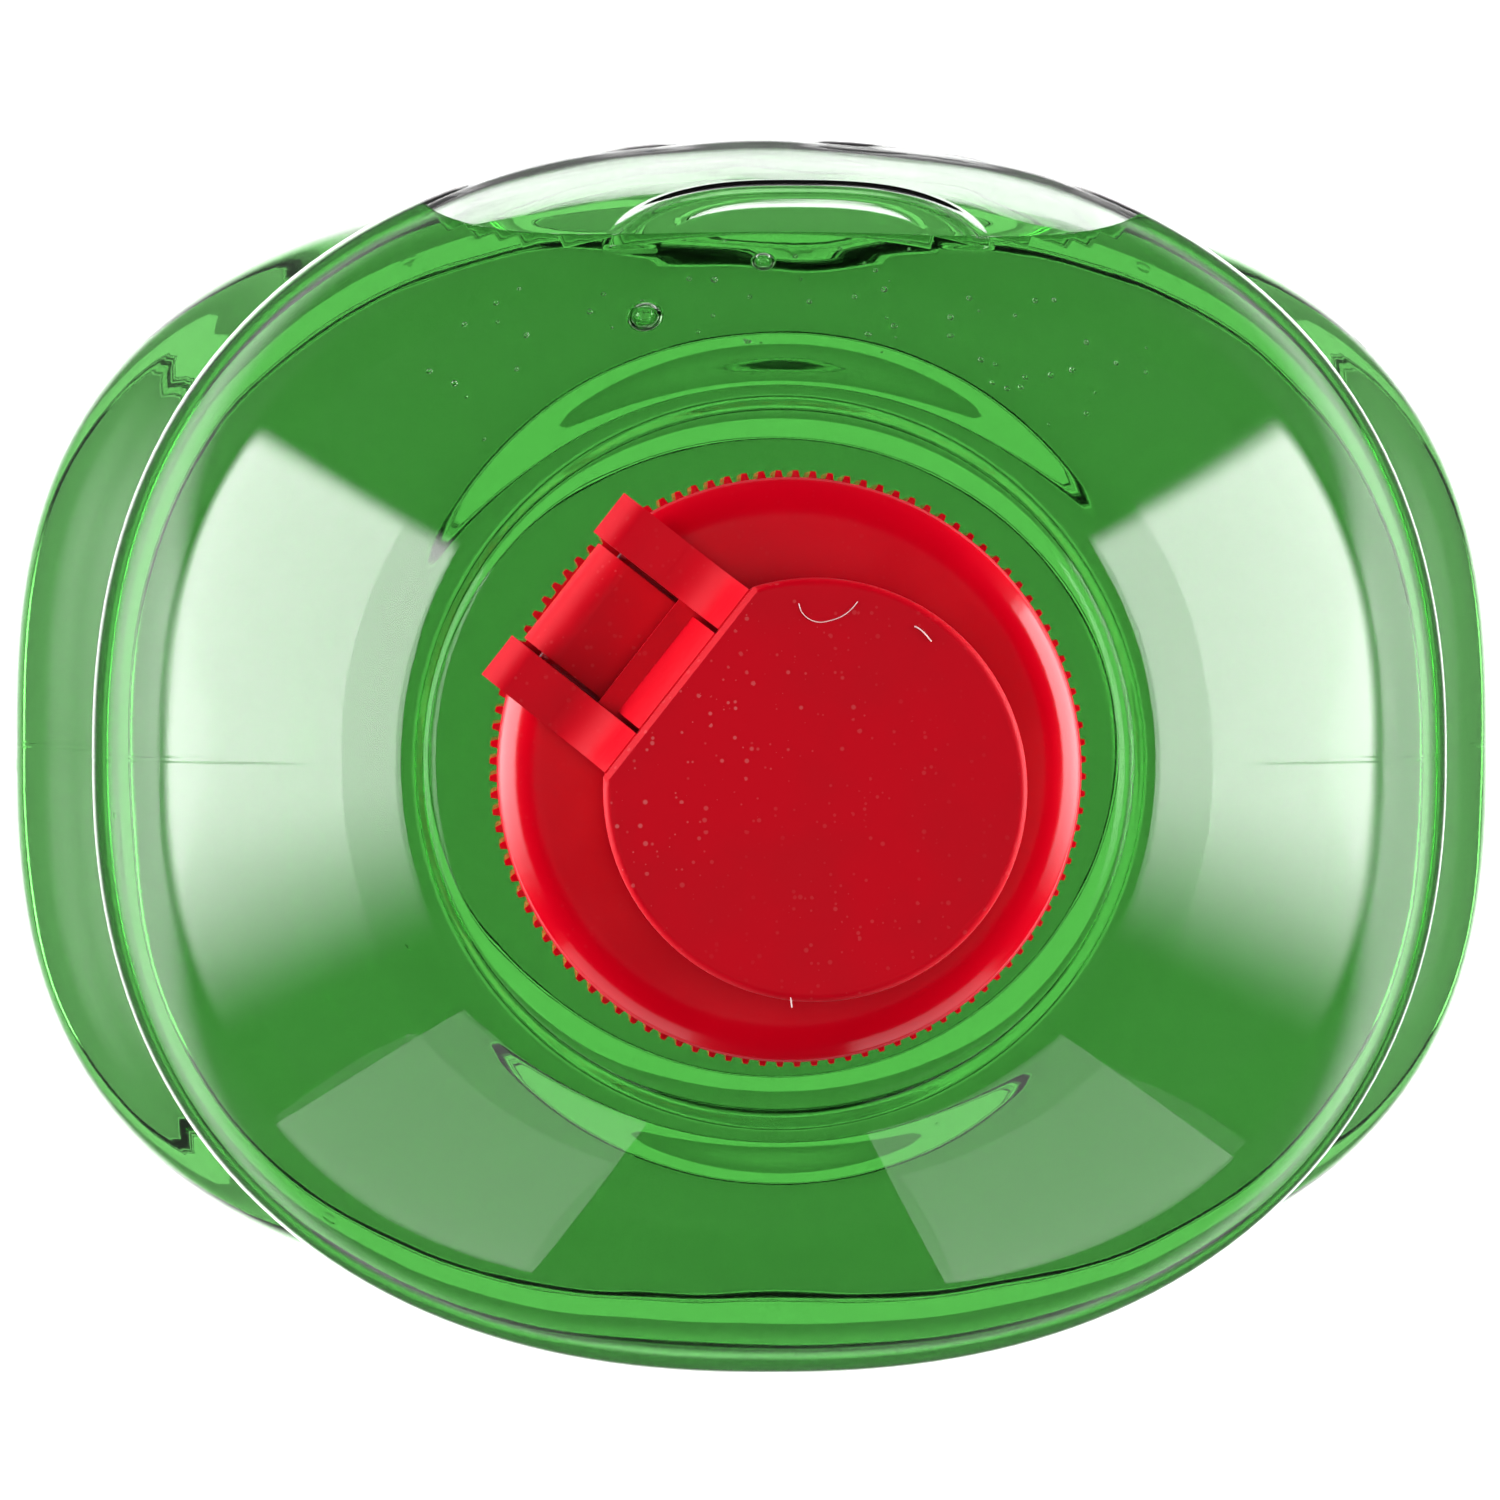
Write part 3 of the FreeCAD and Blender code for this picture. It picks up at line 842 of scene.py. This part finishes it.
class SOAPBOTTLE_OT_bottle(bpy.types.Operator):
    """Draws the clear blown bottle with its wall, threaded neck and pressed-up base"""

    bl_idname = "soapbottle.bottle"
    bl_label = "Bottle"

    def execute(self, context):
        settings = context.scene.soap_bottle
        wall = settings.wall / MM
        outside = smooth_course(inset_stations(0), SHELL_STEPS)
        inside = smooth_course(inset_stations(wall, soft_collar=True), SHELL_STEPS)
        neck_low = NECK_ROOT[3] - RING_HALF
        bore_low = NECK_ROOT[3] - 2 * RING_HALF
        rings = push_up_rings(0, outside[0])
        rings += [ring for ring in outside if ring[3] < neck_low - CLOSE]
        rings += neck_outside_rings()
        rings.append(round_ring(NECK_BORE, bore_low + 1))
        for ring in reversed(inside):
            if ring[0] > NECK_BORE + BORE_CLEAR:
                rings.append((*ring, uneven_wall))
        rings += list(reversed(push_up_rings(wall, inside[0])))
        piece = draw_rings(
            "bottle_shell", rings, settings.segments, PUSH_UP[2], PUSH_UP[2] + wall)
        smooth_by_angle(piece, 35)
        set_only_material(piece, clear_pet_material("clear_pet", WET_IOR))
        piece.data.materials.append(clear_pet_material("clear_pet_in_air", PET_IOR))
        for face in piece.data.polygons:
            if face.center.z > settings.fill_height:
                face.material_index = 1
        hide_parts("bottle")
        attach(piece, "bottle")
        return {"FINISHED"}


class SOAPBOTTLE_OT_soap(bpy.types.Operator):
    """Fills the bottle with soap, its skin set inside the wall so that no gap shows"""

    bl_idname = "soapbottle.soap"
    bl_label = "Soap"

    def execute(self, context):
        settings = context.scene.soap_bottle
        inset = settings.wall / MM / 2
        level = settings.fill_height / MM
        course = smooth_course(inset_stations(inset), SOAP_STEPS)
        radius = NECK_BORE + inset
        rings = push_up_rings(inset, course[0])
        for ring in course:
            if ring[0] > radius + 0.3 and ring[3] < level - 0.6:
                rings.append(ring)
        rings.append(round_ring(radius, level))
        for in_from_wall, drop in MENISCUS:
            rings.append(round_ring(NECK_BORE - in_from_wall, level - drop))
        piece = draw_rings(
            "soap_fill", rings, settings.segments, PUSH_UP[2] + inset, rings[-1][3])
        cut_air_pocket(piece)
        smooth_by_angle(piece, 60)
        bubbles = soap_bubbles()
        deselect_all()
        for bubble in bubbles:
            bubble.select_set(True)
        piece.select_set(True)
        context.view_layer.objects.active = piece
        bpy.ops.object.join()
        set_only_material(piece, soap_material(settings))
        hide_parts("dish_soap")
        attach(piece, "bottle")
        return {"FINISHED"}


class SOAPBOTTLE_OT_cap(bpy.types.Operator):
    """Finishes the ribbed screw cap"""

    bl_idname = "soapbottle.cap"
    bl_label = "Screw cap"

    def execute(self, context):
        settings = context.scene.soap_bottle
        piece = finished_copy("screw_cap", "ribbed_cap")
        set_only_material(piece, red_plastic_material(
            "red_cap", settings.cap_colour, roughness=0.16, specular=0.3, dust=0.1, grain=0.004))
        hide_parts("screw_cap")
        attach(piece, "cap")
        return {"FINISHED"}


class SOAPBOTTLE_OT_lid(bpy.types.Operator):
    """Finishes the flip lid with its ears and strap, and lays the lint on it"""

    bl_idname = "soapbottle.lid"
    bl_label = "Flip lid"

    def execute(self, context):
        settings = context.scene.soap_bottle
        piece = finished_copy("flip_lid", "hinged_lid")
        set_only_material(piece, red_plastic_material(
            "red_lid", settings.lid_colour, roughness=0.42, specular=0.12, dust=0.45, grain=0.008))
        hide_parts("flip_lid")
        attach(piece, "lid")
        for name, body, radius, points in FIBRES:
            add_fibre(name, points, radius, body)
        return {"FINISHED"}


def light_path_share(tree, names):
    """One value that is 1 for rays of any of the named kinds."""
    path = tree.nodes.new("ShaderNodeLightPath")
    share = path.outputs[names[0]]
    for name in names[1:]:
        share = math_node(tree, "MAXIMUM", share, path.outputs[name])
    return share


def floor_material():
    """Pale floor, white to the eye, that keeps a soft shadow and is darker in reflections."""
    material, tree, surface = new_material("pale_floor")
    surface.inputs["Base Color"].default_value = FLOOR_GREY
    surface.inputs["Roughness"].default_value = 0.9
    surface.inputs["Specular IOR Level"].default_value = 0.0
    glow = tree.nodes.new("ShaderNodeEmission")
    share = light_path_share(tree, ("Is Camera Ray", "Is Glossy Ray", "Is Transmission Ray"))
    link(tree, math_node(tree, "MULTIPLY", share, FLOOR_GLOW), glow.inputs["Strength"])
    lit = tree.nodes.new("ShaderNodeAddShader")
    link(tree, surface.outputs[0], lit.inputs[0])
    link(tree, glow.outputs[0], lit.inputs[1])
    place = object_place(tree)
    off_middle = math_node(tree, "ABSOLUTE", split_in_three(tree, place)[1])
    far = soft_range(tree, off_middle, *FLOOR_FADE)
    length = tree.nodes.new("ShaderNodeVectorMath")
    length.operation = "LENGTH"
    link(tree, place, length.inputs[0])
    ring = math_node(
        tree, "MULTIPLY", soft_range(tree, length.outputs["Value"], *RING_IN),
        soft_range(tree, length.outputs["Value"], *RING_OUT))
    far = math_node(tree, "MAXIMUM", far, ring)
    glossy = light_path_share(tree, ("Is Glossy Ray",))
    dim = tree.nodes.new("ShaderNodeBsdfDiffuse")
    dim.inputs["Color"].default_value = FLOOR_DARK
    blend = tree.nodes.new("ShaderNodeMixShader")
    link(tree, math_node(tree, "MULTIPLY", far, glossy), blend.inputs[0])
    link(tree, lit.outputs[0], blend.inputs[1])
    link(tree, dim.outputs[0], blend.inputs[2])
    link(tree, blend.outputs[0], tree.nodes["Material Output"].inputs["Surface"])
    return material


def add_softbox(name, azimuth, low, high, width, radiance):
    """A rectangular lamp that faces the bottle from the side, between two heights."""
    turn = math.radians(azimuth)
    back = Vector((math.cos(turn), math.sin(turn), 0))
    up = Vector((0, 0, 1))
    lamp = bpy.data.lights.new(name, "AREA")
    lamp.shape = "RECTANGLE"
    lamp.size = width
    lamp.size_y = high - low
    lamp.energy = radiance * math.pi * width * (high - low)
    lamp.color = LAMP_COLOUR
    box = bpy.data.objects.new(name, lamp)
    bpy.context.scene.collection.objects.link(box)
    box.location = back * LAMP_DISTANCE + up * (low + high) / 2
    box.rotation_euler = Matrix((up.cross(back), up, back)).transposed().to_euler()
    box.visible_camera = False
    return lamp


def add_fill():
    """A wide weak lamp by the camera that lights the cap and stays out of its gloss."""
    lamp = bpy.data.lights.new("fill", "AREA")
    lamp.shape = "DISK"
    lamp.size = FILL_SIZE
    lamp.energy = FILL_RADIANCE * math.pi * math.pi * (FILL_SIZE / 2) ** 2
    box = bpy.data.objects.new("fill", lamp)
    bpy.context.scene.collection.objects.link(box)
    box.location = (0, 0, CAP_TOP + FILL_RISE)
    box.visible_camera = False
    box.visible_glossy = False
    box.visible_transmission = False


def shape_softbox(lamp):
    """Softens a side lamp's edges and lets it fade towards the front of the bottle."""
    lamp.use_nodes = True
    tree = lamp.node_tree
    place = tree.nodes.new("ShaderNodeNewGeometry").outputs["Position"]
    parts = split_in_three(tree, place)
    front = soft_range(tree, parts[1], *SOFTBOX_FRONT)
    rear = soft_range(tree, parts[1], *SOFTBOX_REAR)
    foot = soft_range(tree, parts[2], *SOFTBOX_FOOT)
    share = math_node(tree, "MULTIPLY", math_node(tree, "MULTIPLY", front, rear), foot)
    link(tree, share, tree.nodes["Emission"].inputs["Strength"])


def studio_world(scene):
    """A pale backdrop at the horizon that darkens overhead."""
    world = bpy.data.worlds.new("studio")
    scene.world = world
    world.use_nodes = True
    tree = world.node_tree
    sky = tree.nodes["Background"]
    direction = tree.nodes.new("ShaderNodeTexCoord").outputs["Generated"]
    level = soft_range(tree, split_in_three(tree, direction)[2], *SKY_BAND, *SKY_LEVELS)
    through = light_path_share(tree, ("Is Camera Ray", "Is Transmission Ray"))
    through = math_node(tree, "MULTIPLY", through, SKY_LEVELS[0])
    level = math_node(tree, "MAXIMUM", level, through)
    link(tree, level, sky.inputs["Strength"])


def place_camera(scene):
    """The camera that looks down onto the cap, a little from the rear left."""
    rib_height = CAP_TOP - RIB_DROP * MM
    spot = Vector((CAMERA_SPOT[0] * MM, CAMERA_SPOT[1] * MM, rib_height + CAMERA_HEIGHT))
    target = Vector((CAMERA_AIM[0] * MM, CAMERA_AIM[1] * MM, rib_height))
    camera = bpy.data.cameras.new("camera")
    camera.sensor_width = 36
    camera.lens = CAMERA_LENS
    camera.clip_start = 0.01
    eye = bpy.data.objects.new("camera", camera)
    scene.collection.objects.link(eye)
    eye.location = spot
    back = (spot - target).normalized()
    right = Vector((0, 1, 0)).cross(back).normalized()
    turn = Matrix((right, back.cross(right), back)).transposed()
    eye.rotation_euler = turn.to_euler()
    scene.camera = eye


class SOAPBOTTLE_OT_stage(bpy.types.Operator):
    """Sets the floor, the lamps, the sky and the camera over the cap"""

    bl_idname = "soapbottle.stage"
    bl_label = "Stage"

    def execute(self, context):
        scene = context.scene
        deselect_all()
        bpy.ops.mesh.primitive_plane_add(size=FLOOR_SIZE)
        floor = context.object
        floor.name = "floor"
        set_only_material(floor, floor_material())

        for name, azimuth in SOFTBOXES:
            shape_softbox(add_softbox(name, azimuth, *SOFTBOX))
        for name, azimuth in CARDS:
            add_softbox(name, azimuth, *CARD)
        add_fill()
        studio_world(scene)
        place_camera(scene)

        scene.view_settings.view_transform = "Standard"
        scene.cycles.max_bounces = 24
        scene.cycles.transmission_bounces = 24
        scene.cycles.glossy_bounces = 6
        scene.cycles.diffuse_bounces = 3
        return {"FINISHED"}


class SOAPBOTTLE_PT_panel(bpy.types.Panel):
    """Lists the bottle's sizes, colours and steps"""

    bl_label = "Soap bottle"
    bl_idname = "SOAPBOTTLE_PT_panel"
    bl_space_type = "VIEW_3D"
    bl_region_type = "UI"
    bl_category = "Soap bottle"

    def draw(self, context):
        settings = context.scene.soap_bottle
        for name in settings.__annotations__:
            self.layout.prop(settings, name)
        for step in STEPS:
            self.layout.operator(step.bl_idname)


STEPS = (
    SOAPBOTTLE_OT_bottle,
    SOAPBOTTLE_OT_soap,
    SOAPBOTTLE_OT_cap,
    SOAPBOTTLE_OT_lid,
    SOAPBOTTLE_OT_stage,
)
CLASSES = (SoapBottleSettings, *STEPS, SOAPBOTTLE_PT_panel)


def register():
    for cls in CLASSES:
        bpy.utils.register_class(cls)
    bpy.types.Scene.soap_bottle = bpy.props.PointerProperty(type=SoapBottleSettings)


def unregister():
    del bpy.types.Scene.soap_bottle
    for cls in reversed(CLASSES):
        bpy.utils.unregister_class(cls)


def main():
    register()
    bpy.ops.soapbottle.bottle()
    bpy.ops.soapbottle.soap()
    bpy.ops.soapbottle.cap()
    bpy.ops.soapbottle.lid()
    bpy.ops.soapbottle.stage()


if __name__ == "__main__":
    main()
